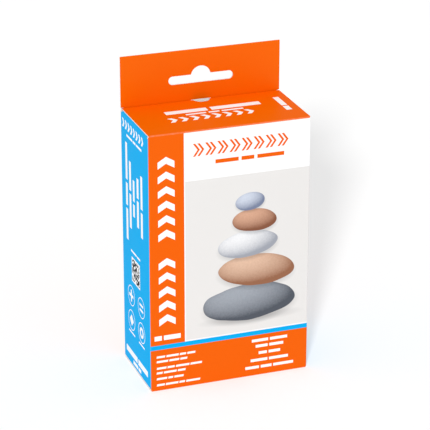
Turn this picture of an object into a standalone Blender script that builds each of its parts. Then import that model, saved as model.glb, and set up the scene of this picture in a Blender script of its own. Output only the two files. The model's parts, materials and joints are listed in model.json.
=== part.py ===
# Retail carton for a foot splint: a folded paperboard sleeve that stands on its glued base,
# with a tuck lid at the top and a two-ply tab with a peg slot behind it.
# Metres, +Z up. The origin is the middle of the base, the front panel faces -Y.
# Each board is drawn by its printed face, and its thickness goes in from there.

from math import asin, cos, pi, radians, sin, tan

import bpy
from mathutils import Vector

# The carton's outside
WIDTH = 0.120
DEPTH = 0.063
HEIGHT = 0.195

# The board, and how it is folded
BOARD = 0.0006
GAP = 0.0003  # between boards that lie on each other
FOLD_RADIUS = 0.0010
FOLD_STEPS = 5
CORNER_STEPS = 8

# The sleeve's glue lap, inside the back panel's left edge
LAP_WIDTH = 0.014
LAP_TAPER = 0.006
RAW_EDGE_INSET = 0.0005  # from the left side to the back panel's cut edge

# The tab over the back panel, and the slot through it for a display peg
TAB_HEIGHT = 0.0375
TAB_LAP = 0.008  # how far its front ply reaches down inside the back panel
TAB_LAP_INSET = 0.0020
SLOT_LENGTH = 0.0485
SLOT_HEIGHT = 0.0062
SLOT_RISE = 0.0127  # from the lid to the slot's lower edge
HUMP_RADIUS = 0.0075
HUMP_SINK = 0.0015  # from the slot's upper edge down to the middle of the hump

# The lid, its tuck flap and the finger notch in the fold between them
LID_SIDE_INSET = 0.0004
TUCK_LENGTH = 0.015
TUCK_SIDE_INSET = 0.0018
TUCK_CORNER = 0.006
TUCK_SHOULDER = 0.0012
TUCK_LEAN = radians(8)  # inwards, so that the flap clears the tab as the lid swings up
NOTCH_RADIUS = 0.0063
NOTCH_DROP = 0.0014  # from the lid's top down to the notch's lower edge
NOTCH_POINTS = 48

# The four dust flaps, under the lid and over the base flaps
DUST_LENGTH = 0.044
DUST_SLOPE = 0.62  # how fast the front edge of an upper flap falls back along its length
DUST_REAR_GAP = 0.0050  # from an upper flap to the back of the carton
DUST_TAPER = 0.0030
DUST_CORNER = 0.0035

# The glued flaps that close the base
BASE_INSET = 0.0003
BASE_CORNER = 0.0015

CUTTER_MARGIN = 0.004

ORANGE = (0.913, 0.133, 0.0)
BLUE = (0.0, 0.429, 0.863)
BARE = (0.86, 0.85, 0.82)

HALF_WIDTH = WIDTH / 2
HALF_DEPTH = DEPTH / 2
PLY = BOARD + GAP  # one board and the space over it
TAB_FRONT = HALF_DEPTH - PLY - BOARD
LID_DEPTH = HALF_DEPTH + TAB_FRONT - GAP


def clear_scene():
    for item in list(bpy.data.objects):
        bpy.data.objects.remove(item)


def new_collection(name):
    made = bpy.data.collections.new(name)
    bpy.context.scene.collection.children.link(made)
    return made


def board_material(name, colour, roughness):
    material = bpy.data.materials.new(name)
    material.use_nodes = True
    shader = material.node_tree.nodes["Principled BSDF"]
    shader.inputs["Base Color"].default_value = (*colour, 1)
    shader.inputs["Roughness"].default_value = roughness
    shader.inputs["Metallic"].default_value = 0
    return material


def arc_points(x, y, radius, start, end, steps):
    turns = [start + (end - start) * step / steps for step in range(steps + 1)]
    return [(x + radius * cos(turn), y + radius * sin(turn)) for turn in turns]


def fillet(before, corner, after, radius, steps):
    """Points of the arc that rounds a corner, from the side of before to the side of after."""
    corner = Vector(corner)
    back = (Vector(before) - corner).normalized()
    on = (Vector(after) - corner).normalized()
    half = back.angle(on) / 2
    centre = corner + (back + on).normalized() * (radius / sin(half))
    start = (corner + back * (radius / tan(half)) - centre).normalized()
    end = (corner + on * (radius / tan(half)) - centre).normalized()
    return [centre + radius * start.slerp(end, step / steps) for step in range(steps + 1)]


def outline_of(corners):
    """The points of a flat outline whose corners, given as (x, y, radius), are rounded."""
    points = []
    for place, (x, y, radius) in enumerate(corners):
        if radius == 0:
            points.append((x, y))
            continue
        before = corners[place - 1][:2]
        after = corners[(place + 1) % len(corners)][:2]
        points += fillet(before, (x, y), after, radius, CORNER_STEPS)
    return points


def add_board(name, points, faces, materials, collection):
    """A board with these faces as its printed side, each anticlockwise when seen from there."""
    mesh = bpy.data.meshes.new(name)
    mesh.from_pydata(points, [], faces)
    for material in materials:
        mesh.materials.append(material)
    board = bpy.data.objects.new(name, mesh)
    collection.objects.link(board)
    solidify = board.modifiers.new("board", "SOLIDIFY")
    solidify.thickness = BOARD
    solidify.offset = -1
    solidify.use_even_offset = True
    solidify.material_offset = len(materials) - 1
    solidify.material_offset_rim = len(materials) - 1
    return board


def folded_board(name, rows, materials, collection):
    """A board folded across its rows. Each row holds the two ends of a line over the board."""
    points = [point for row in rows for point in row]
    faces = [(2 * i, 2 * i + 2, 2 * i + 3, 2 * i + 1) for i in range(len(rows) - 1)]
    return add_board(name, points, faces, materials, collection)


def folded_strip(name, rows, materials, collection):
    """A board folded across X. Each row holds its y, its z and half of the board's width."""
    ends = [((half, y, z), (-half, y, z)) for y, z, half in rows]
    return folded_board(name, ends, materials, collection)


def flat_board(name, outline, materials, collection):
    points = [(x, y, 0) for x, y in outline]
    return add_board(name, points, [range(len(points))], materials, collection)


def cut_out(board, name, outline, depth, collection):
    """Cuts an outline out of a board, this deep to both sides of the cutter's XY plane."""
    cutter = flat_board(name, outline, (), collection)
    cutter.modifiers["board"].thickness = 2 * depth
    cutter.modifiers["board"].offset = 0
    cutter.hide_render = True
    cutter.display_type = "WIRE"
    boolean = board.modifiers.new(name, "BOOLEAN")
    boolean.object = cutter
    boolean.operation = "DIFFERENCE"
    return cutter


def make_sleeve(materials, collection):
    """Glue lap, left side, front, right side and back panel, folded from one board."""
    lap_y = HALF_DEPTH - PLY
    lap = (4 * PLY, HEIGHT - TAB_LAP - PLY)
    side = (3 * PLY, HEIGHT - 2 * PLY)
    front = (PLY, HEIGHT - PLY)
    back = (2 * PLY, HEIGHT)
    corners = (
        (-HALF_WIDTH + LAP_WIDTH, lap_y),
        (-HALF_WIDTH, lap_y),
        (-HALF_WIDTH, -HALF_DEPTH),
        (HALF_WIDTH, -HALF_DEPTH),
        (HALF_WIDTH, HALF_DEPTH),
        (-HALF_WIDTH + RAW_EDGE_INSET, HALF_DEPTH),
    )
    rows = [(*corners[0], lap[0] + LAP_TAPER, lap[1] - LAP_TAPER)]
    # The panels before and after each fold, by the heights of their low and high edge
    folds = ((lap, side), (side, front), (front, side), (side, back))
    for place, (before, after) in enumerate(folds):
        arc = fillet(*corners[place : place + 3], FOLD_RADIUS, FOLD_STEPS)
        for step, (x, y) in enumerate(arc):
            rows.append((x, y, *Vector(before).lerp(Vector(after), step / FOLD_STEPS)))
    rows.append((*corners[-1], *back))
    ends = [((x, y, low), (x, y, high)) for x, y, low, high in rows]
    sleeve = folded_board("sleeve", ends, materials, collection)
    for face in sleeve.data.polygons:
        face.material_index = 1 if abs(face.normal.x) > 0.7 else 0
    return sleeve


def slot_outline():
    """A slot with round ends and a round hump in the middle of its upper edge."""
    end_radius = SLOT_HEIGHT / 2
    reach = SLOT_LENGTH / 2 - end_radius
    hump_start = asin(HUMP_SINK / HUMP_RADIUS)
    steps = 2 * CORNER_STEPS
    right = arc_points(reach, 0, end_radius, -pi / 2, pi / 2, steps)
    hump = arc_points(
        0, end_radius - HUMP_SINK, HUMP_RADIUS, hump_start, pi - hump_start, steps
    )
    left = arc_points(-reach, 0, end_radius, pi / 2, 3 * pi / 2, steps)
    return right + hump + left


def make_hang_tab(materials, collection, cutters):
    """A front ply glued inside the back panel, folded over at the top into a back ply."""
    top = HEIGHT + TAB_HEIGHT
    radius = (HALF_DEPTH - TAB_FRONT) / 2
    over = arc_points(TAB_FRONT + radius, top - radius, radius, pi, 0, 2 * FOLD_STEPS)
    rows = [
        (TAB_FRONT, HEIGHT - TAB_LAP, HALF_WIDTH - 2 * TAB_LAP_INSET),
        (TAB_FRONT, HEIGHT, HALF_WIDTH - TAB_LAP_INSET),
        (TAB_FRONT, HEIGHT + GAP, HALF_WIDTH),
    ]
    rows += [(y, z, HALF_WIDTH) for y, z in over]
    rows.append((HALF_DEPTH, HEIGHT + GAP, HALF_WIDTH))
    tab = folded_strip("hang_tab", rows, materials, collection)
    cutter = cut_out(tab, "peg_slot", slot_outline(), CUTTER_MARGIN, cutters)
    cutter.rotation_euler = (pi / 2, 0, 0)
    cutter.location = (0, HALF_DEPTH - PLY, HEIGHT + SLOT_RISE + SLOT_HEIGHT / 2)


def make_lid(materials, collection, cutters):
    """The lid panel and the tuck flap that it folds down into, behind the dust flaps. The
    origin is on the crease with the front panel."""
    half = HALF_WIDTH - LID_SIDE_INSET
    tuck_half = HALF_WIDTH - TUCK_SIDE_INSET
    crease = Vector((LID_DEPTH, 0))
    down = Vector((-sin(TUCK_LEAN), -cos(TUCK_LEAN)))
    arc = fillet((0, 0), crease, crease + down, FOLD_RADIUS, FOLD_STEPS)
    rows = [(0, 0, half)] + [(*point, half) for point in arc]
    rows.append((*(arc[-1] + down * TUCK_SHOULDER), tuck_half))
    for step in range(CORNER_STEPS + 1):
        turn = pi / 2 * step / CORNER_STEPS
        along = TUCK_LENGTH - TUCK_CORNER * (1 - sin(turn))
        rows.append((*(crease + down * along), tuck_half - TUCK_CORNER * (1 - cos(turn))))
    lid = folded_strip("lid", rows, materials, collection)
    lid.location = (0, -HALF_DEPTH, HEIGHT)
    notch = arc_points(0, 0, NOTCH_RADIUS, 0, 2 * pi, NOTCH_POINTS)[:-1]
    cutter = cut_out(lid, "finger_notch", notch, NOTCH_DROP, cutters)
    cutter.location = (0, LID_DEPTH - HALF_DEPTH, HEIGHT)


def dust_outline(front, rear, slope):
    """A flap on the left: x runs in from its fold, y from front to back."""
    corners = (
        (0, front, 0),
        (DUST_LENGTH, front + slope * DUST_LENGTH, DUST_CORNER),
        (DUST_LENGTH, rear - DUST_TAPER, DUST_CORNER),
        (0, rear, 0),
    )
    return outline_of(corners)


def make_dust_flaps(materials, collection):
    """Two upper flaps under the lid and two lower ones over the base flaps. The origin of each
    is on its fold with a side panel."""
    inside = HALF_DEPTH - PLY
    upper = dust_outline(-inside, HALF_DEPTH - DUST_REAR_GAP, DUST_SLOPE)
    lower = dust_outline(DUST_TAPER - inside, inside - PLY, DUST_TAPER / DUST_LENGTH)
    flaps = (
        ("top_dust_flap", upper, HEIGHT - PLY),
        ("bottom_dust_flap", lower[::-1], 2 * PLY),
    )
    for name, outline, height in flaps:
        left = flat_board(f"{name}_left", outline, materials, collection)
        left.location = (-HALF_WIDTH, 0, height)
        mirrored = [(-x, y) for x, y in reversed(outline)]
        right = flat_board(f"{name}_right", mirrored, materials, collection)
        right.location = (HALF_WIDTH, 0, height)


def make_base_flaps(materials, collection):
    """An outer flap folded from the front panel, glued under an inner one from the back."""
    half = HALF_WIDTH - BASE_INSET
    outer = (
        (-half, -HALF_DEPTH, 0),
        (half, -HALF_DEPTH, 0),
        (half, HALF_DEPTH - BASE_INSET, BASE_CORNER),
        (-half, HALF_DEPTH - BASE_INSET, BASE_CORNER),
    )
    inner = (
        (-half, -HALF_DEPTH + PLY, BASE_CORNER),
        (half, -HALF_DEPTH + PLY, BASE_CORNER),
        (half, HALF_DEPTH, 0),
        (-half, HALF_DEPTH, 0),
    )
    for name, corners, height in (
        ("base_outer_flap", outer, 0),
        ("base_inner_flap", inner, PLY),
    ):
        flap = flat_board(name, outline_of(corners)[::-1], materials, collection)
        flap.location.z = height


def build():
    clear_scene()
    carton = new_collection("carton")
    cutters = new_collection("cutters")
    orange = board_material("orange_print", ORANGE, 0.45)
    blue = board_material("blue_print", BLUE, 0.45)
    bare = board_material("bare_board", BARE, 0.85)
    make_sleeve((orange, blue, bare), carton)
    make_hang_tab((orange, bare), carton, cutters)
    make_lid((orange, bare), carton, cutters)
    make_dust_flaps((blue, bare), carton)
    make_base_flaps((orange, bare), carton)


build()
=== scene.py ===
import json
from math import cos, pi, radians, sin

import bmesh
import bpy
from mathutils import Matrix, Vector

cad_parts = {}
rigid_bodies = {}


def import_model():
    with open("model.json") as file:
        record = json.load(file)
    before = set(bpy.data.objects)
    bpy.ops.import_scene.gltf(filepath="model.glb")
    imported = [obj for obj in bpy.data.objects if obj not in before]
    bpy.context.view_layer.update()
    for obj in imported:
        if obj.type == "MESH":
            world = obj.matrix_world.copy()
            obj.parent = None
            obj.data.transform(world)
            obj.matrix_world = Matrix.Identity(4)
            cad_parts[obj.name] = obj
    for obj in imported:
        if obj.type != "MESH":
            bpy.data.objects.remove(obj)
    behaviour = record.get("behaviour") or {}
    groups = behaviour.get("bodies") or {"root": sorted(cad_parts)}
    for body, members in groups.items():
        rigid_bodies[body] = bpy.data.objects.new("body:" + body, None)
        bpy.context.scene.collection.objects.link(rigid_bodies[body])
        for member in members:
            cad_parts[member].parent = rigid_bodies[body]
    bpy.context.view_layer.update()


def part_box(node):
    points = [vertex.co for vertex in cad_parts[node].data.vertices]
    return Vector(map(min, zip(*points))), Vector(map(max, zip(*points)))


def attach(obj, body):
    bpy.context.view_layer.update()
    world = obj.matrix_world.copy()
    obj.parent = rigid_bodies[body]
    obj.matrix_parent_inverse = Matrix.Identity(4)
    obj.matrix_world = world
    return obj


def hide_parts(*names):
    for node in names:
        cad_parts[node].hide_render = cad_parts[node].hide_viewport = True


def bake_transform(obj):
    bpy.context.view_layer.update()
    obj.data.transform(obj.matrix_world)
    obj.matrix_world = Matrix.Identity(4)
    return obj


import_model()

mm = 0.001
tiny = 0.02 * mm  # two corners closer than this are in one place

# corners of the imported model's boxes, which everything below is placed from
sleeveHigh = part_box("sleeve")[1]
tabLow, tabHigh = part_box("hang_tab")
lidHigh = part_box("lid")[1]
dustLow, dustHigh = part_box("top_dust_flap_left")
baseLow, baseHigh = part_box("base_outer_flap")
innerLow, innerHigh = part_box("base_inner_flap")
footLow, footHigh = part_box("bottom_dust_flap_left")

carton = {
    "halfWidth": sleeveHigh.x,
    "halfDepth": sleeveHigh.y,
    "height": sleeveHigh.z,
    "board": baseHigh.z - baseLow.z,
    "foldRadius": 1.0 * mm,
    "flapFoldRadius": 0.98 * mm,  # just short of the 1 mm strip that it rounds
    "foldSegments": 6,
    "cornerSegments": 8,
    "smoothAngle": radians(28),
}
ply = innerLow.z - baseLow.z  # one board and the space over it


# tools for the folded sheets
def deselectAll():
    for thing in bpy.context.view_layer.objects:
        thing.select_set(False)


def addPanel(name, low, high, turn=(0, 0, 0)):
    # a flat sheet between two corners, which share one of their three numbers
    deselectAll()
    low, high = Vector(low), Vector(high)
    bpy.ops.mesh.primitive_plane_add(size=1, location=(low + high) / 2, rotation=turn)
    panel = bpy.context.object
    panel.name = panel.data.name = name
    across, along = [side for side in high - low if abs(side) > tiny]
    panel.scale = (across, along, 1)
    bpy.ops.object.transform_apply(location=True, rotation=True, scale=True)
    return panel


def editing(piece):
    deselectAll()
    piece.select_set(True)
    bpy.context.view_layer.objects.active = piece
    bpy.ops.object.mode_set(mode="EDIT")


def doneEditing():
    bpy.ops.object.mode_set(mode="OBJECT")


def pickEdges(test):
    bpy.ops.mesh.select_mode(type="EDGE")
    bpy.ops.mesh.select_all(action="DESELECT")
    data = bpy.context.edit_object.data
    for edge in bmesh.from_edit_mesh(data).edges:
        edge.select_set(all(test(vert.co) for vert in edge.verts))
    bmesh.update_edit_mesh(data)


def pickVerts(test):
    bpy.ops.mesh.select_mode(type="VERT")
    bpy.ops.mesh.select_all(action="DESELECT")
    data = bpy.context.edit_object.data
    for vert in bmesh.from_edit_mesh(data).verts:
        vert.select_set(test(vert.co))
    bmesh.update_edit_mesh(data)


def pickFaces(test):
    bpy.ops.mesh.select_mode(type="FACE")
    bpy.ops.mesh.select_all(action="DESELECT")
    data = bpy.context.edit_object.data
    for face in bmesh.from_edit_mesh(data).faces:
        face.select_set(test(face.calc_center_median(), face.normal))
    bmesh.update_edit_mesh(data)


def near(value, target):
    return abs(value - target) < tiny


def extrudeEdges(x=0, y=0, z=0):
    bpy.ops.mesh.extrude_edges_move(TRANSFORM_OT_translate={"value": (x, y, z)})


def moveSelected(x=0, y=0, z=0):
    bpy.ops.transform.translate(value=(x, y, z))


def narrow(share):
    # keeps the picked edge in the middle of the carton
    bpy.ops.transform.resize(value=(share, 1, 1), center_override=(0, 0, 0))


def roundFold(radius):
    bpy.ops.mesh.bevel(offset=radius, offset_type="OFFSET", segments=carton["foldSegments"],
                       profile=0.5, affect="EDGES")


def roundCorners(radius):
    bpy.ops.mesh.bevel(offset=radius, segments=carton["cornerSegments"], profile=0.5,
                       affect="VERTICES")


def trim(test, low, high):
    # leaves the picked faces only between two heights, and the faces beside them whole
    for height in (low, high):
        pickFaces(test)
        bpy.ops.mesh.bisect(plane_co=(0, 0, height), plane_no=(0, 0, 1))
    pickFaces(lambda c, n: test(c, n) and not low < c.z < high)
    bpy.ops.mesh.delete(type="FACE")


def applyModifiers(piece):
    deselectAll()
    piece.select_set(True)
    bpy.context.view_layer.objects.active = piece
    for modifier in list(piece.modifiers):
        bpy.ops.object.modifier_apply(modifier=modifier.name)


def cutWith(piece, cutters):
    # the cut edges are bare board
    for cutter in cutters:
        cutter.data.materials.append(bareMaterial)
        cut = piece.modifiers.new("cut", "BOOLEAN")
        cut.operation = "DIFFERENCE"
        cut.solver = "EXACT"
        cut.material_mode = "TRANSFER"
        cut.object = cutter
    applyModifiers(piece)
    for cutter in cutters:
        bpy.data.objects.remove(cutter)


def thicken(piece, *materials):
    # the printed side stays where it is. The last material is on the bare side and cut edges.
    for material in materials:
        piece.data.materials.append(material)
    wall = piece.modifiers.new("board", "SOLIDIFY")
    wall.thickness = carton["board"]
    wall.offset = -1
    wall.use_even_offset = True
    wall.material_offset = wall.material_offset_rim = len(materials) - 1
    applyModifiers(piece)


def finishPiece(piece, node):
    deselectAll()
    piece.select_set(True)
    bpy.context.view_layer.objects.active = piece
    bpy.ops.object.shade_smooth_by_angle(angle=carton["smoothAngle"])
    # each point keeps its place on the closed carton, so the print turns with its flap
    place = piece.data.attributes.new("boardPlace", "FLOAT_VECTOR", "POINT")
    place.data.foreach_set("vector", [n for vert in piece.data.vertices for n in vert.co])
    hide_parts(node)
    print("folded", piece.name, len(piece.data.polygons), "faces")


# shader maths
class Field:
    # a number, a vector or a colour on its way through a material's nodes
    sharpness = 10  # for masks in millimetres: their edges are 0.1 mm soft

    def __init__(self, socket):
        self.socket = socket

    def node(self, kind, settings, sockets, output=0):
        tree = self.socket.id_data
        made = tree.nodes.new(kind)
        for name, value in settings.items():
            if name == "stops":
                ramp = made.color_ramp
                ramp.interpolation = "CONSTANT"
                for stop in value[2:]:
                    ramp.elements.new(stop[0])
                for stop, (at, shade) in zip(ramp.elements, value):
                    stop.position, stop.color = at, (shade, shade, shade, 1)
            else:
                setattr(made, name, value)
        for name, value in sockets.items():
            if isinstance(value, Field):
                tree.links.new(value.socket, made.inputs[name])
            else:
                made.inputs[name].default_value = value
        return Field(made.outputs[output])

    def math(self, operation, *others, clamp=False):
        settings = {"operation": operation, "use_clamp": clamp}
        return self.node("ShaderNodeMath", settings, dict(enumerate((self, *others))))

    def __add__(self, other):
        return self.math("ADD", other)

    def __radd__(self, other):
        return self.math("ADD", other)

    def __sub__(self, other):
        return self.math("SUBTRACT", other)

    def __rsub__(self, other):
        return self.node("ShaderNodeMath", {"operation": "SUBTRACT"}, {0: other, 1: self})

    def __mul__(self, other):
        return self.math("MULTIPLY", other)

    def __rmul__(self, other):
        return self.math("MULTIPLY", other)

    def __truediv__(self, other):
        return self.math("DIVIDE", other)

    def __mod__(self, other):
        return self.math("FLOORED_MODULO", other)

    def __abs__(self):
        return self.math("ABSOLUTE")

    def inside(self):
        # 1 where this is over zero
        return self.math("MULTIPLY_ADD", self.sharpness, 0.5, clamp=True)

    def __lt__(self, other):
        return (other - self).inside()

    def __gt__(self, other):
        return (self - other).inside()

    def __and__(self, other):
        return self.math("MINIMUM", other)

    def __or__(self, other):
        return self.math("MAXIMUM", other)

    def mix(self, other, share):
        # this colour, which becomes the other one where the share is 1
        settings = {"data_type": "RGBA", "blend_type": "MIX"}
        return self.node("ShaderNodeMix", settings, {0: share, 6: self, 7: other}, output=2)


def ink(red, green, blue):
    # a colour in a picture's numbers from 0 to 255, made linear
    shares = [value / 255 for value in (red, green, blue)]
    return (*[((s + 0.055) / 1.055) ** 2.4 if s > 0.04 else s / 12.92 for s in shares], 1)


inks = {
    "orange": ink(241, 98, 0),
    "lidOrange": ink(243, 103, 0),  # for plain panels: the orange ink made a little lighter and yellower, painted to cancel the red light that the tab and the lid bounce onto each other
    "blue": ink(0, 174, 240),
    "white": ink(251, 251, 251),
    "paleGrey": ink(231, 229, 227),
    "board": ink(250, 249, 247),
    "boardFibre": ink(232, 229, 222),
    "darkGrey": ink(52, 54, 60),
}

# the printed side. Sizes, depths and reaches are in millimetres.
printFinish = {
    "roughness": 0.46,
    "coat": 0.15,
    "coatRoughness": 0.33,
    "fibreSize": 0.25,
    "fibreDepth": 0.012,
    "fibreShade": 0.02,
    "fibreRoughness": 0.08,
    "waveSize": 30,
    "waveDepth": 0.12,
    "waveShade": 0.012,
    "bumpStrength": 0.5,
    "foldReach": 0.6,  # how far from a crease the print is rubbed
    "lidFoldReach": 1.0,
    "foldWear": 0.13,
    "rubSize": 2.4,
    "rubRange": (1.6, -0.3),  # stretches the patchy wear, and then lowers it
    "rubRoughness": 0.8,
    "rubCoat": 3,  # the coat is rubbed off this much faster than the ink
}

# the uncoated back of the board and its cut edges
bareFinish = {
    "roughness": 0.85,
    "specular": 0.15,
    "fibreSize": 0.35,
    "fibreDepth": 0.02,
    "fibreShare": 0.5,
    "fibreRoughness": 0.1,
    "cloudSize": 9,
    "cloudShare": 0.2,
    "lessShare": 0.18,  # so that clean board is left between the fibres
    "bumpStrength": 0.4,
}


def newMaterial(name):
    # also gives the place on the closed carton in millimetres, and its three parts
    material = bpy.data.materials.new(name)
    material.use_nodes = True
    shader = material.node_tree.nodes["Principled BSDF"]
    place = material.node_tree.nodes.new("ShaderNodeAttribute")
    place.attribute_name = "boardPlace"
    where = Field(place.outputs["Vector"])
    where = where.node("ShaderNodeVectorMath", {"operation": "SCALE"}, {0: where, 3: 1 / mm})
    parts = [where.node("ShaderNodeSeparateXYZ", {}, {0: where}, axis) for axis in range(3)]
    return material, shader, where, parts


def feed(shader, socketName, value):
    shader.id_data.links.new(value.socket, shader.inputs[socketName])


def noise(where, size, detail):
    return where.node("ShaderNodeTexNoise", {},
                      {"Vector": where, "Scale": 1 / size, "Detail": detail})


def feedBump(shader, height, strength, distance):
    sockets = {"Strength": strength, "Distance": distance, "Height": height}
    feed(shader, "Normal", height.node("ShaderNodeBump", {}, sockets))


def plain(where, colour):
    # one ink all over, for others to be mixed into
    sockets = {0: 0.0, 6: colour, 7: colour}
    return where.node("ShaderNodeMix", {"data_type": "RGBA"}, sockets, output=2)


def reachFrom(u, v):
    # how far a place is from where u and v are both zero
    return (u * u + v * v).math("SQRT")


def foldMask(parts):
    # 1 along the creases, where the board was pressed
    x, y, z = parts
    halfWidth, halfDepth = carton["halfWidth"] / mm, carton["halfDepth"] / mm
    height, reach = carton["height"] / mm, printFinish["foldReach"]
    side = abs(x) > halfWidth - reach
    front = abs(y) > halfDepth - reach
    lidFold = (z > height - printFinish["lidFoldReach"]) & (y < reach - halfDepth)
    low = z < height + reach
    return (side & front & low) | lidFold


def finishPrint(shader, where, parts, colour):
    # ink on coated board: fine fibre, slight unevenness, and creases rubbed a little paler
    facts = printFinish
    fibre = noise(where, facts["fibreSize"], detail=3)
    wave = noise(where, facts["waveSize"], detail=1)
    rub = noise(where, facts["rubSize"], detail=4)
    wear = foldMask(parts) * rub.math("MULTIPLY_ADD", *facts["rubRange"], clamp=True)
    wear = wear * facts["foldWear"]
    shade = fibre * facts["fibreShade"] + wave * facts["waveShade"]
    shade = shade + (1 - (facts["fibreShade"] + facts["waveShade"]) / 2)
    worn = colour.mix(inks["white"], wear)
    tint = worn.node("ShaderNodeVectorMath", {"operation": "SCALE"}, {0: worn, 3: shade})
    feed(shader, "Base Color", tint)
    roughness = fibre * facts["fibreRoughness"] + wear * facts["rubRoughness"]
    feed(shader, "Roughness", roughness + (facts["roughness"] - facts["fibreRoughness"] / 2))
    shader.inputs["Specular IOR Level"].default_value = 0.0
    shader.inputs["Coat Roughness"].default_value = facts["coatRoughness"]
    feed(shader, "Coat Weight", (1 - wear * facts["rubCoat"]) * facts["coat"])
    height = fibre * facts["fibreDepth"] + wave * facts["waveDepth"]
    feedBump(shader, height, facts["bumpStrength"], mm)


def box(u, v, left, right, low, high):
    across = abs(u - (left + right) / 2) < (right - left) / 2
    return across & (abs(v - (low + high) / 2) < (high - low) / 2)


def bars(along, across, *rows):
    # each row has its bars' lengths and one gap between them, and starts at or is centred on
    # a place. A ramp holds the row and a small margin at both of its ends.
    mask, margin = None, 1.0
    for row in rows:
        lengths, gap = row["lengths"], row["gap"]
        whole = sum(lengths) + gap * (len(lengths) - 1)
        start = row["middle"] - whole / 2 if "middle" in row else row["start"]
        rampLength = whole + 2 * margin
        at, stops = margin, [(0.0, 0)]
        for length in lengths:
            stops += [(at / rampLength, 1), ((at + length) / rampLength, 0)]
            at += length + gap
        share = along.math("MULTIPLY_ADD", 1 / rampLength, (margin - start) / rampLength)
        onBars = share.node("ShaderNodeValToRGB", {"stops": stops}, {"Fac": share})
        printed = onBars & (abs(across - row["at"]) < row["thick"] / 2)
        mask = printed if mask is None else mask | printed
    return mask


def chevrons(across, along, row):
    # a row of arrowheads that point towards larger numbers of along
    reach = abs(across - row["centre"])
    place = reach * row["slope"] + along - row["low"]
    step = place % row["pitch"]
    mask = (step < row["stroke"]) & (reach < row["halfWidth"])
    if "open" in row:
        mask = mask & (abs(step - row["stroke"] / 2) > row["open"] / 2)
    # each group ends in the middle of a space between two arrowheads
    ends = [row["pitch"] * n - (row["pitch"] - row["stroke"]) / 2 for n in row["groups"]]
    run = None
    for first, last in zip(ends[::2], ends[1::2]):
        group = abs(place - (first + last) / 2) < (last - first) / 2
        run = group if run is None else run | group
    return mask & run


def makePlainMaterial(name, colour):
    material, shader, where, parts = newMaterial(name)
    finishPrint(shader, where, parts, plain(where, colour))
    return material


def makeBareMaterial():
    material, shader, where, parts = newMaterial("bare board")
    facts = bareFinish
    fibre = noise(where, facts["fibreSize"], detail=4)
    cloud = noise(where, facts["cloudSize"], detail=3)
    share = fibre * facts["fibreShare"] + cloud * facts["cloudShare"] - facts["lessShare"]
    feed(shader, "Base Color", plain(where, inks["board"]).mix(inks["boardFibre"], share))
    middle = facts["roughness"] - facts["fibreRoughness"] / 2
    feed(shader, "Roughness", fibre * facts["fibreRoughness"] + middle)
    shader.inputs["Specular IOR Level"].default_value = facts["specular"]
    feedBump(shader, fibre, facts["bumpStrength"], facts["fibreDepth"] * mm)
    return material


orangeMaterial = makePlainMaterial("plain orange print", inks["lidOrange"])
blueMaterial = makePlainMaterial("plain blue print", inks["blue"])
bareMaterial = makeBareMaterial()

# Sizes of the print are in millimetres: x across the front, y from front to back, z up.
frontPrint = {
    "bandRight": -34.0,
    "stripe": (32.5, 36.0),
    "picture": {"left": -33.2, "right": 70, "low": 36.9, "high": 158.1},
    "arrows": {"centre": -47.0, "halfWidth": 6.1, "low": 54.6, "pitch": 10.8, "stroke": 5.0,
               "slope": 0.6, "groups": (0, 5, 6, 12)},
    "tag": {"at": 41.5, "thick": 3.6, "middle": -47.0, "gap": 1.5, "lengths": (5.4, 12.6)},
    "emblem": {"centre": 180.6, "halfWidth": 4.7, "low": -24.0, "pitch": 8.9, "stroke": 4.9,
               "slope": 0.72, "open": 1.5, "groups": (0, 8)},
    "motto": {"at": 170.4, "thick": 2.9, "middle": 14.5, "gap": 2.2, "lengths": (17, 9.5, 20)},
    "leftRows": {"thick": 1.6, "start": -55.4, "gap": 0.9},
    "leftSlant": 0.2,  # how far the bars of these rows lean
    "rightRows": {"thick": 2.2, "middle": 30.6, "gap": 1.3},
}
# rows of small bars, each with its height and its bars' lengths
leftRows = ((26.8, (6.4, 9.2, 4.8, 6.0)), (23.1, (8.6, 7.4, 5.2)), (17.9, (7.2, 5.4, 10.2, 8.6)),
            (14.2, (4.4, 9.6, 5.8)), (9.6, (7.8, 3.6, 7.0)), (4.7, (5.8, 9.4, 4.2, 10.6)))
rightRows = ((28.0, (12.6, 13.4)), (23.4, (9.2, 10.8)), (17.9, (6.4, 9.0)),
             (12.3, (13.0, 14.8)), (6.7, (10.6, 8.4, 15.6)))

# the picture on the front: a stack of smooth stones
pictureFacts = {
    "unevenSize": 21,
    "unevenShare": 0.22,  # how far the stones are from true ovals
    "grainSize": 1.3,
    "grainShare": 0.26,
    "lightAbove": 0.5,
    "lightLeft": 0.26,
    "lightFront": 0.62,
    "stoneShadow": {"drop": 0.25, "fade": 4, "reach": 1.1, "share": 0.24},
    "groundShadow": {"x": 16, "z": 47.5, "wide": 42, "tall": 5, "share": 0.4},
}
# each stone's place, half sizes, tilt and two tones
stones = (
    {"x": 15.0, "z": 60.0, "wide": 35.0, "tall": 14.0, "tilt": 0.03,
     "light": ink(172, 178, 187), "dark": ink(84, 89, 98)},
    {"x": 20.0, "z": 84.5, "wide": 28.5, "tall": 12.2, "tilt": -0.06,
     "light": ink(236, 200, 174), "dark": ink(152, 104, 78)},
    {"x": 13.5, "z": 105.0, "wide": 22.5, "tall": 10.0, "tilt": 0.08,
     "light": ink(252, 252, 253), "dark": ink(160, 164, 174)},
    {"x": 18.5, "z": 122.6, "wide": 16.8, "tall": 8.6, "tilt": -0.05,
     "light": ink(226, 178, 150), "dark": ink(136, 88, 66)},
    {"x": 15.0, "z": 137.4, "wide": 11.2, "tall": 6.8, "tilt": 0.1,
     "light": ink(220, 227, 240), "dark": ink(122, 132, 158)},
)


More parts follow.
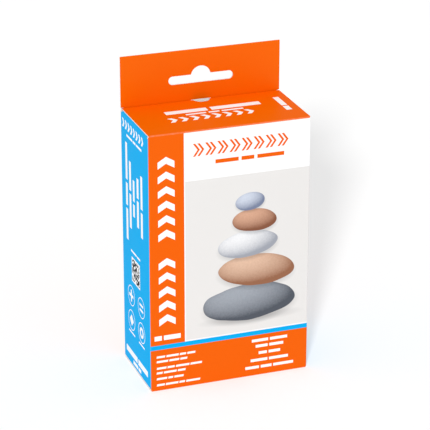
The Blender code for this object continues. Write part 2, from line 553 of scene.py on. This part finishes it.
def addStone(picture, x, z, uneven, grain, facts):
    # lit from the upper left, with its soft shadow on whatever is under it
    turnCos, turnSin = cos(facts["tilt"]), sin(facts["tilt"])
    awayX, awayZ = x - facts["x"], z - facts["z"]
    u = awayX * (turnCos / facts["wide"]) + awayZ * (turnSin / facts["wide"])
    v = awayZ * (turnCos / facts["tall"]) - awayX * (turnSin / facts["tall"])
    reach = reachFrom(u, v) + uneven
    body = ((1 - reach) * facts["tall"]).inside()
    bulge = (1 - reach * reach).math("MAXIMUM", 0).math("SQRT")
    light = v * pictureFacts["lightAbove"] - u * pictureFacts["lightLeft"]
    light = light + bulge * pictureFacts["lightFront"] + grain
    light = light.math("MAXIMUM", 0).math("MINIMUM", 1)
    tone = plain(x, facts["dark"]).mix(facts["light"], light)
    shadow = pictureFacts["stoneShadow"]
    fade, away = shadow["fade"], reachFrom(u, v + shadow["drop"])
    fall = away.math("MULTIPLY_ADD", -fade, fade * shadow["reach"], clamp=True)
    return picture.mix(inks["darkGrey"], fall * shadow["share"]).mix(tone, body)


def makePicture(where, parts):
    x, z = parts[0], parts[2]
    unevenShare, grainShare = pictureFacts["unevenShare"], pictureFacts["grainShare"]
    uneven = noise(where, pictureFacts["unevenSize"], detail=1) * unevenShare - unevenShare / 2
    grain = noise(where, pictureFacts["grainSize"], detail=5) * grainShare - grainShare / 2
    ground = pictureFacts["groundShadow"]
    fall = reachFrom((x - ground["x"]) / ground["wide"], (z - ground["z"]) / ground["tall"])
    fall = fall.math("MULTIPLY_ADD", -1, 1, clamp=True)
    picture = plain(where, inks["paleGrey"]).mix(inks["darkGrey"], fall * ground["share"])
    for facts in stones:
        picture = addStone(picture, x, z, uneven, grain, facts)
    return picture


def makeFrontMaterial():
    material, shader, where, parts = newMaterial("front print")
    x, z = parts[0], parts[2]
    layout = frontPrint
    stripeLow, stripeHigh = layout["stripe"]
    colour = plain(where, inks["orange"])
    colour = colour.mix(inks["white"], (x > layout["bandRight"]) & (z > stripeHigh))
    view = layout["picture"]
    shown = box(x, z, view["left"], view["right"], view["low"], view["high"])
    colour = colour.mix(makePicture(where, parts), shown)
    colour = colour.mix(inks["blue"], (z > stripeLow) & (z < stripeHigh))
    left, right, slant = layout["leftRows"], layout["rightRows"], layout["leftSlant"]
    leftBars = [{**left, "start": left["start"] - slant * at, "at": at, "lengths": lengths}
                for at, lengths in leftRows]
    rightBars = [{**right, "at": at, "lengths": lengths} for at, lengths in rightRows]
    white = chevrons(x, z, layout["arrows"]) | bars(x, z, layout["tag"], *rightBars)
    colour = colour.mix(inks["white"], white | bars(x - z * slant, z, *leftBars))
    orange = chevrons(z, x, layout["emblem"]) | bars(x, z, layout["motto"])
    colour = colour.mix(inks["orange"], orange)
    finishPrint(shader, where, parts, colour)
    return material


sidePrint = {
    "emblem": {"centre": 186.2, "halfWidth": 3.2, "low": -24.4, "pitch": 6.15, "stroke": 2.7,
               "slope": 0.72, "groups": (0, 8)},
    "motto": {"at": 179.2, "thick": 1.7, "middle": 0.0, "gap": 1.4, "lengths": (12, 6.5, 13)},
    "columns": (  # along z, and so across y
        {"at": 18.4, "thick": 4.2, "middle": 136.3, "gap": 2.6, "lengths": (24, 17, 28)},
        {"at": 10.2, "thick": 4.2, "middle": 136.3, "gap": 2.6, "lengths": (26, 22)},
        {"at": 2.2, "thick": 3.8, "middle": 136.3, "gap": 2.2, "lengths": (9.5, 16)},
        {"at": -7.0, "thick": 4.2, "middle": 136.3, "gap": 2.2, "lengths": (20, 15)},
        {"at": -15.8, "thick": 4.2, "middle": 136.3, "gap": 2.6, "lengths": (19, 25)},
    ),
    "label": {"at": 94.0, "thick": 1.5, "middle": 0.0, "gap": 1.2, "lengths": (7, 13)},
    "patch": {"y": 0.0, "z": 80.0, "half": 9.5, "margin": 1.2, "cells": 15, "whiteShare": 0.4},
    "rings": {"y": 11.7, "middleZ": 47.8, "stepZ": 9.8, "radius": 7.6, "line": 0.65},
    # what is in the four rings, measured from the middle of a ring
    "plus": {"reach": 4.8, "halfLine": 1.1},
    "diamond": {"reach": 4.6},
    "hoop": {"radius": 3.2, "halfLine": 1.1},
    "twoBars": {"reach": 4.2, "apart": 2.0, "halfLine": 0.9},
    "captions": {"at": 28.0, "thick": 1.2, "middle": 0.0, "gap": 9.4, "lengths": (13, 14)},
    "title": {"at": 10.9, "thick": 4.6, "middle": 0.0, "gap": 2.0, "lengths": (22, 26)},
    "tag": {"at": 5.4, "thick": 2.8, "middle": 0.0, "gap": 1.3, "lengths": (6, 11)},
}


def makeSideMaterial():
    material, shader, where, parts = newMaterial("side print")
    y, z = parts[1:]
    layout = sidePrint
    white = chevrons(z, 0 - y, layout["emblem"])
    white = white | bars(z, y, *layout["columns"])
    white = white | bars(y, z, layout["motto"], layout["label"], layout["captions"],
                         layout["title"], layout["tag"])
    rings = layout["rings"]
    ringY, ringZ = abs(y) - rings["y"], abs(z - rings["middleZ"]) - rings["stepZ"]
    awayY, awayZ, reach = abs(ringY), abs(ringZ), reachFrom(ringY, ringZ)
    white = white | (abs(reach - rings["radius"]) < rings["line"] / 2)
    line = layout["plus"]["halfLine"]
    plus = ((awayY < line) | (awayZ < line)) & (reach < layout["plus"]["reach"])
    diamond = (awayY + awayZ) < layout["diamond"]["reach"]
    hoop = abs(reach - layout["hoop"]["radius"]) < layout["hoop"]["halfLine"]
    twoBars = abs(awayZ - layout["twoBars"]["apart"]) < layout["twoBars"]["halfLine"]
    twoBars = twoBars & (awayY < layout["twoBars"]["reach"])
    back, upper = y > 0, z > rings["middleZ"]
    white = white | (plus & back & upper) | (twoBars & (1 - back) & upper)
    white = white | (diamond & back & (1 - upper)) | (hoop & (1 - back) & (1 - upper))
    colour = plain(where, inks["blue"]).mix(inks["white"], white)
    # the square patch of small cells
    patch = layout["patch"]
    inner = patch["half"] - patch["margin"]
    cell = 2 * inner / patch["cells"]
    column = ((y - (patch["y"] - inner)) / cell).math("FLOOR")
    row = ((z - (patch["z"] - inner)) / cell).math("FLOOR")
    spot = y.node("ShaderNodeCombineXYZ", {}, {0: column, 1: row, 2: 0.0})
    filled = spot.node("ShaderNodeTexWhiteNoise", {"noise_dimensions": "2D"}, {"Vector": spot})
    filled = filled.math("GREATER_THAN", patch["whiteShare"])
    card, field = [box(y, z, patch["y"] - half, patch["y"] + half, patch["z"] - half,
                       patch["z"] + half) for half in (patch["half"], inner)]
    colour = colour.mix(inks["white"], card).mix(inks["darkGrey"], filled & field)
    finishPrint(shader, where, parts, colour)
    return material


lidPrint = {
    "title": {"at": 7.9, "thick": 6.2, "middle": 1.0, "gap": 3.0, "lengths": (31, 37)},
    "motto": {"at": 1.0, "thick": 2.3, "middle": 0.0, "gap": 1.8, "lengths": (15, 8, 16)},
    "emblem": {"centre": -6.9, "halfWidth": 4.3, "low": -33.4, "pitch": 8.1, "stroke": 3.4,
               "slope": 0.72, "groups": (0, 8)},
    "tag": {"at": 51.2, "thick": 4.3, "middle": 1.0, "gap": 1.8, "lengths": (8.2, 18)},
    "depth": 0.9,  # how far down round the folds the print may go
}


def makeLidMaterial():
    material, shader, where, parts = newMaterial("lid print")
    x, y, z = parts
    white = bars(x, y, lidPrint["title"], lidPrint["motto"])
    white = white | chevrons(y, x, lidPrint["emblem"]) | bars(y, x, lidPrint["tag"])
    onTop = z > carton["height"] / mm - lidPrint["depth"]
    colour = plain(where, inks["lidOrange"]).mix(inks["white"], white & onTop)
    finishPrint(shader, where, parts, colour)
    return material


frontMaterial = makeFrontMaterial()
sideMaterial = makeSideMaterial()
lidMaterial = makeLidMaterial()
print("printed", len(frontMaterial.node_tree.nodes), "nodes on the front")


# the sleeve: front, two sides, back and the glue lap in one folded sheet
sleeveFacts = {
    "lapWidth": 14 * mm,
    "lapTaper": 6 * mm,
    "lapLow": 4 * ply,  # over the flaps of the base
    "rawEdgeInset": 0.5 * mm,
    # how much of a face's normal has to point to the side that it is taken for
    "panelShare": 0.7,
    "bluePanelShare": 0.9,
    "lapShare": 0.999,
    "foldShare": 0.1,
}


def makeSleeve():
    halfWidth, halfDepth = carton["halfWidth"], carton["halfDepth"]
    radius = carton["foldRadius"]
    low, high = baseLow.z + radius, sleeveHigh.z
    lapY = halfDepth - ply
    sleeve = addPanel("sleeveShell", (-halfWidth, -halfDepth, low),
                      (halfWidth, -halfDepth, high), (pi / 2, 0, 0))
    editing(sleeve)
    pickEdges(lambda p: near(p.x, -halfWidth))
    extrudeEdges(y=lapY + halfDepth)
    extrudeEdges(x=sleeveFacts["lapWidth"])
    pickEdges(lambda p: near(p.x, halfWidth))
    extrudeEdges(y=2 * halfDepth)
    extrudeEdges(x=-2 * halfWidth + sleeveFacts["rawEdgeInset"])
    folds = ((-halfWidth, -halfDepth), (halfWidth, -halfDepth), (halfWidth, halfDepth),
             (-halfWidth, lapY))
    pickEdges(lambda p: any(near(p.x, x) and near(p.y, y) for x, y in folds))
    roundFold(radius)
    # each panel ends where its own flap begins, and a rounded fold is parted down its middle
    panel, fold, lap = [sleeveFacts[name] for name in ("panelShare", "foldShare", "lapShare")]
    between = halfDepth - ply / 2  # the back panel is behind this, and the lap in front of it
    trim(lambda c, n: abs(n.x) > panel or (n.x < -fold and n.y > fold), footLow.z + radius,
         dustHigh.z - radius)
    trim(lambda c, n: n.y < -panel, low, high - radius)
    trim(lambda c, n: n.y > panel and c.y > between, innerLow.z + radius, high)
    trim(lambda c, n: n.y > lap and c.y < between, sleeveFacts["lapLow"], tabLow.z - ply)
    lapEnd = -halfWidth + sleeveFacts["lapWidth"]
    pickVerts(lambda p: near(p.x, lapEnd) and near(p.y, lapY) and p.z > high / 2)
    moveSelected(z=-sleeveFacts["lapTaper"])
    pickVerts(lambda p: near(p.x, lapEnd) and near(p.y, lapY) and p.z < high / 2)
    moveSelected(z=sleeveFacts["lapTaper"])
    doneEditing()
    for face in sleeve.data.polygons:
        if face.normal.x < -panel:
            face.material_index = 1
        elif face.normal.y > panel:
            face.material_index = 2
        elif face.normal.x > sleeveFacts["bluePanelShare"]:
            face.material_index = 3
    thicken(sleeve, frontMaterial, sideMaterial, orangeMaterial, blueMaterial, bareMaterial)
    finishPiece(sleeve, "sleeve")
    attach(sleeve, "carton")


# the tab: two plies folded over at the top, and a lap down inside the back panel
tabFacts = {
    "lapInset": 2 * mm,
    "lapStep": 0.3 * mm,  # over the crease with the lid
    "foldSlack": 0.01 * mm,  # keeps the two halves of the top's round fold apart
    "slotLength": 48.5 * mm,
    "slotHeight": 6.2 * mm,
    "slotRise": 12.7 * mm,
    "humpRadius": 7.5 * mm,
    "humpSink": 1.5 * mm,
    "punchDepth": 6 * mm,
    "punchSides": 64,
    # the lap's ink in millimetres: it ends this low, and this far from the middle
    "inkLow": 190.0,
    "bareHalfWidth": 7.5,
}


def makeLapMaterial():
    # the ink runs on over the crease, but not behind the lid's finger notch
    material, shader, where, parts = newMaterial("lap print")
    inked = (abs(parts[0]) > tabFacts["bareHalfWidth"]) & (parts[2] > tabFacts["inkLow"])
    finishPrint(shader, where, parts, plain(where, inks["board"]).mix(inks["lidOrange"], inked))
    return material


def addPunch(x, z, width, height=None):
    # goes through the tab from front to back. One without a height is round.
    deselectAll()
    place = (x, (tabLow.y + tabHigh.y) / 2, z)
    depth = tabFacts["punchDepth"]
    if height is None:
        bpy.ops.mesh.primitive_cylinder_add(vertices=tabFacts["punchSides"], radius=width / 2,
                                            depth=depth, location=place,
                                            rotation=(pi / 2, 0, 0))
    else:
        bpy.ops.mesh.primitive_cube_add(size=1, location=place, scale=(width, depth, height))
    bpy.ops.object.transform_apply(location=True, rotation=True, scale=True)
    return bpy.context.object


def makeTab():
    halfWidth, height = carton["halfWidth"], carton["height"]
    front, rear, top = tabLow.y, tabHigh.y, tabHigh.z
    step = tabFacts["lapStep"]
    tab = addPanel("tabShell", (-halfWidth, front, height + step), (halfWidth, front, top),
                   (pi / 2, 0, 0))
    editing(tab)
    pickEdges(lambda p: near(p.z, top))
    extrudeEdges(y=rear - front)
    extrudeEdges(z=height - top)
    pickEdges(lambda p: near(p.z, height + step) and near(p.y, front))
    extrudeEdges(z=-step)
    narrow((halfWidth - tabFacts["lapInset"]) / halfWidth)
    extrudeEdges(z=tabLow.z - height)
    # the two long edges at the top become the round fold
    bpy.ops.mesh.select_all(action="DESELECT")
    for edge in bmesh.from_edit_mesh(tab.data).edges:
        ends = [vert.co for vert in edge.verts]
        atTop = all(near(end.z, top) for end in ends)
        edge.select_set(atTop and abs(ends[0].x - ends[1].x) > halfWidth)
    bmesh.update_edit_mesh(tab.data)
    roundFold((rear - front) / 2 - tabFacts["foldSlack"])
    doneEditing()
    for face in tab.data.polygons:
        if face.center.z < height:
            face.material_index = 1
    thicken(tab, orangeMaterial, makeLapMaterial(), bareMaterial)
    slotZ = height + tabFacts["slotRise"] + tabFacts["slotHeight"] / 2
    reach = (tabFacts["slotLength"] - tabFacts["slotHeight"]) / 2
    hump = addPunch(0, slotZ + tabFacts["slotHeight"] / 2 - tabFacts["humpSink"],
                    2 * tabFacts["humpRadius"])
    editing(hump)
    bpy.ops.mesh.select_all(action="SELECT")
    bpy.ops.mesh.bisect(plane_co=(0, 0, slotZ), plane_no=(0, 0, -1), clear_outer=True,
                        use_fill=True)
    doneEditing()
    cutWith(tab, (addPunch(0, slotZ, 2 * reach, tabFacts["slotHeight"]),
                  addPunch(-reach, slotZ, tabFacts["slotHeight"]),
                  addPunch(reach, slotZ, tabFacts["slotHeight"]), hump))
    finishPiece(tab, "hang_tab")
    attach(tab, "carton")


# the lid with its finger notch, and the tuck flap that goes down behind it
lidFacts = {
    "rearReach": 0.16 * mm,  # the round fold of the leaning flap takes this back
    "tuckLean": radians(8),
    "tuckLength": 15 * mm,
    "tuckInset": 1.4 * mm,
    "tuckShoulder": 1.2 * mm,
    "tuckCorner": 6 * mm,
    "notchRadius": 6.3 * mm,
    "notchDrop": 1.4 * mm,
    "notchSides": 96,
}


def makeLid():
    halfDepth, top, radius = carton["halfDepth"], carton["height"], carton["foldRadius"]
    half = lidHigh.x
    rear = lidHigh.y + lidFacts["rearReach"]
    lean, length = lidFacts["tuckLean"], lidFacts["tuckLength"]
    shoulder = lidFacts["tuckShoulder"] + radius
    lid = addPanel("lidShell", (-half, -halfDepth, top), (half, rear, top))
    editing(lid)
    pickEdges(lambda p: near(p.y, rear))
    extrudeEdges(y=-shoulder * sin(lean), z=-shoulder * cos(lean))
    narrow((half - lidFacts["tuckInset"]) / half)
    rest = length - shoulder
    extrudeEdges(y=-rest * sin(lean), z=-rest * cos(lean))
    pickVerts(lambda p: near(p.z, top - length * cos(lean)))
    roundCorners(lidFacts["tuckCorner"])
    pickEdges(lambda p: near(p.y, rear) and near(p.z, top))
    roundFold(radius)
    pickEdges(lambda p: near(p.y, -halfDepth))
    extrudeEdges(z=-radius)
    narrow((carton["halfWidth"] - radius) / half)
    pickEdges(lambda p: near(p.y, -halfDepth) and near(p.z, top))
    roundFold(carton["flapFoldRadius"])
    doneEditing()
    thicken(lid, lidMaterial, bareMaterial)
    deselectAll()
    bpy.ops.mesh.primitive_cylinder_add(vertices=lidFacts["notchSides"],
                                        radius=lidFacts["notchRadius"],
                                        depth=2 * lidFacts["notchDrop"],
                                        location=(0, rear, top))
    bpy.ops.object.transform_apply(location=True, rotation=True, scale=True)
    cutWith(lid, (bpy.context.object,))
    finishPiece(lid, "lid")
    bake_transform(lid)


# the four small flaps on the side panels, two under the lid and two in the base
flapFacts = {
    "frontInset": 0.1 * mm,
    "cornerRadius": 3.5 * mm,
    "slope": 0.62,
    "tipTaper": 3 * mm,
}


def makeDustFlap(side, name, node):
    # side is -1 on the left and 1 on the right
    radius, halfWidth = carton["foldRadius"], carton["halfWidth"]
    top, length = dustHigh.z, dustHigh.x - dustLow.x
    front, rear = dustLow.y + flapFacts["frontInset"], dustHigh.y
    edge, tip = side * halfWidth, side * (halfWidth - length)
    flap = addPanel(name, (min(edge, tip), front, top), (max(edge, tip), rear, top))
    editing(flap)
    pickVerts(lambda p: near(p.x, tip) and near(p.y, front))
    moveSelected(y=flapFacts["slope"] * length)
    pickVerts(lambda p: near(p.x, tip) and near(p.y, rear))
    moveSelected(y=-flapFacts["tipTaper"])
    pickVerts(lambda p: near(p.x, tip))
    roundCorners(flapFacts["cornerRadius"])
    pickEdges(lambda p: near(p.x, edge))
    extrudeEdges(z=-radius)
    pickEdges(lambda p: near(p.x, edge) and near(p.z, top))
    roundFold(carton["flapFoldRadius"])
    doneEditing()
    thicken(flap, blueMaterial, bareMaterial)
    finishPiece(flap, node)
    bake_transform(flap)


def makeFootFlap(side, name, node):
    radius, halfWidth = carton["foldRadius"], carton["halfWidth"]
    z, length = footLow.z, footHigh.x - footLow.x
    front, rear = footLow.y, footHigh.y
    edge, tip = side * halfWidth, side * (halfWidth - length)
    flap = addPanel(name, (min(edge, tip), front, z), (max(edge, tip), rear, z), (pi, 0, 0))
    editing(flap)
    pickVerts(lambda p: near(p.x, tip) and near(p.y, front))
    moveSelected(y=flapFacts["tipTaper"])
    pickVerts(lambda p: near(p.x, tip) and near(p.y, rear))
    moveSelected(y=-flapFacts["tipTaper"])
    pickVerts(lambda p: near(p.x, tip))
    roundCorners(flapFacts["cornerRadius"])
    pickEdges(lambda p: near(p.x, edge))
    extrudeEdges(z=radius)
    pickEdges(lambda p: near(p.x, edge) and near(p.z, z))
    roundFold(carton["flapFoldRadius"])
    doneEditing()
    thicken(flap, blueMaterial, bareMaterial)
    finishPiece(flap, node)
    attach(flap, "carton")


baseFacts = {
    "cornerRadius": 1.5 * mm,
}


def makeBaseFlap(name, node, low, high, foldY):
    # printed side down, folded from its panel over the edge at foldY
    radius, z = carton["foldRadius"], low.z
    flap = addPanel(name, (low.x, low.y, z), (high.x, high.y, z), (pi, 0, 0))
    editing(flap)
    pickVerts(lambda p: not near(p.y, foldY))
    roundCorners(baseFacts["cornerRadius"])
    pickEdges(lambda p: near(p.y, foldY))
    extrudeEdges(z=radius)
    narrow((carton["halfWidth"] - radius) / high.x)
    pickEdges(lambda p: near(p.y, foldY) and near(p.z, z))
    roundFold(carton["flapFoldRadius"])
    doneEditing()
    thicken(flap, orangeMaterial, bareMaterial)
    finishPiece(flap, node)
    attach(flap, "carton")


makeSleeve()
makeTab()
makeLid()
makeDustFlap(-1, "dustFlapLeft", "top_dust_flap_left")
makeDustFlap(1, "dustFlapRight", "top_dust_flap_right")
makeFootFlap(-1, "footFlapLeft", "bottom_dust_flap_left")
makeFootFlap(1, "footFlapRight", "bottom_dust_flap_right")
makeBaseFlap("baseOuterShell", "base_outer_flap", baseLow, baseHigh, baseLow.y)
makeBaseFlap("baseInnerShell", "base_inner_flap", innerLow, innerHigh, innerHigh.y)
print("carton folded")


# floor, light and camera
studio = {
    "floorSize": 9,
    "floorShade": 0.55,  # the rest of its white is its own light, so little ink shows on it
    "floorGlow": 0.455,
    "floorRoughness": 0.9,
    "floorDrop": 0.05 * mm,  # keeps it out of the base's own plane
    "roomLight": 0.62,
    "horizonLight": 0.98,
    "horizonEnds": (0.1, 0.28),  # heights in the sky between which the horizon's white fades
    "keyDistance": 2,
    # a wider spread makes a light's shadow softer
    "key": {"strength": 1.4, "spread": radians(24), "azimuth": radians(-32),
            "elevation": radians(50)},
    "floorKey": {"strength": 2.8, "spread": radians(6), "azimuth": radians(-28),
                 "elevation": radians(25)},
}
shot = {
    "azimuth": radians(-19.7),
    "elevation": radians(22.3),
    "distance": 1.5,
    "aimHeight": 0.1167,
    "pixelsPerMetre": 1396,
    "pixels": 430,
}


def direction(azimuth, elevation):
    # from the carton towards a camera or a light
    return Vector((sin(azimuth) * cos(elevation), -cos(azimuth) * cos(elevation),
                   sin(elevation)))


def addKey(name, facts, lit):
    # a distant light that only reaches some things, while everything casts its shadow
    deselectAll()
    toKey = direction(facts["azimuth"], facts["elevation"])
    bpy.ops.object.light_add(type="SUN", location=toKey * studio["keyDistance"])
    key = bpy.context.object
    key.name = name
    key.data.energy = facts["strength"]
    key.data.angle = facts["spread"]
    key.rotation_euler = toKey.to_track_quat("Z", "Y").to_euler()
    reach = bpy.data.collections.new(name + " reach")
    for thing in lit:
        reach.objects.link(thing)
    key.light_linking.receiver_collection = reach


def makeStudio():
    pieces = [thing for thing in bpy.context.scene.objects
              if thing.type == "MESH" and not thing.hide_render]
    deselectAll()
    bpy.ops.mesh.primitive_plane_add(size=studio["floorSize"],
                                     location=(0, 0, -studio["floorDrop"]))
    floor = bpy.context.object
    floor.name = "floor"
    material = bpy.data.materials.new("white floor")
    material.use_nodes = True
    shader = material.node_tree.nodes["Principled BSDF"]
    shader.inputs["Base Color"].default_value = [studio["floorShade"]] * 3 + [1]
    shader.inputs["Emission Color"].default_value = (1, 1, 1, 1)
    shader.inputs["Emission Strength"].default_value = studio["floorGlow"]
    shader.inputs["Roughness"].default_value = studio["floorRoughness"]
    shader.inputs["Specular IOR Level"].default_value = 0.0
    floor.data.materials.append(material)
    world = bpy.data.worlds.new("white room")
    world.use_nodes = True
    sky = world.node_tree.nodes["Background"]
    sky.inputs["Color"].default_value = (1, 1, 1, 1)
    where = Field(world.node_tree.nodes.new("ShaderNodeTexCoord").outputs["Generated"])
    up = where.node("ShaderNodeSeparateXYZ", {}, {0: where}, 2)
    start, end = studio["horizonEnds"]
    high = ((up - start) / (end - start)).math("MAXIMUM", 0).math("MINIMUM", 1)
    light = high * (studio["roomLight"] - studio["horizonLight"]) + studio["horizonLight"]
    feed(sky, "Strength", light)
    bpy.context.scene.world = world
    addKey("key light", studio["key"], pieces)
    addKey("floor light", studio["floorKey"], [floor])


def makeCamera():
    back = direction(shot["azimuth"], shot["elevation"])
    aim = Vector((0, 0, shot["aimHeight"]))
    bpy.ops.object.camera_add(location=aim + back * shot["distance"])
    camera = bpy.context.object
    camera.rotation_euler = (-back).to_track_quat("-Z", "Y").to_euler()
    width = shot["pixels"] / shot["pixelsPerMetre"]
    camera.data.lens = camera.data.sensor_width * shot["distance"] / width
    bpy.context.scene.camera = camera


makeStudio()
makeCamera()
bpy.context.scene.view_settings.view_transform = "Standard"
print("studio ready")
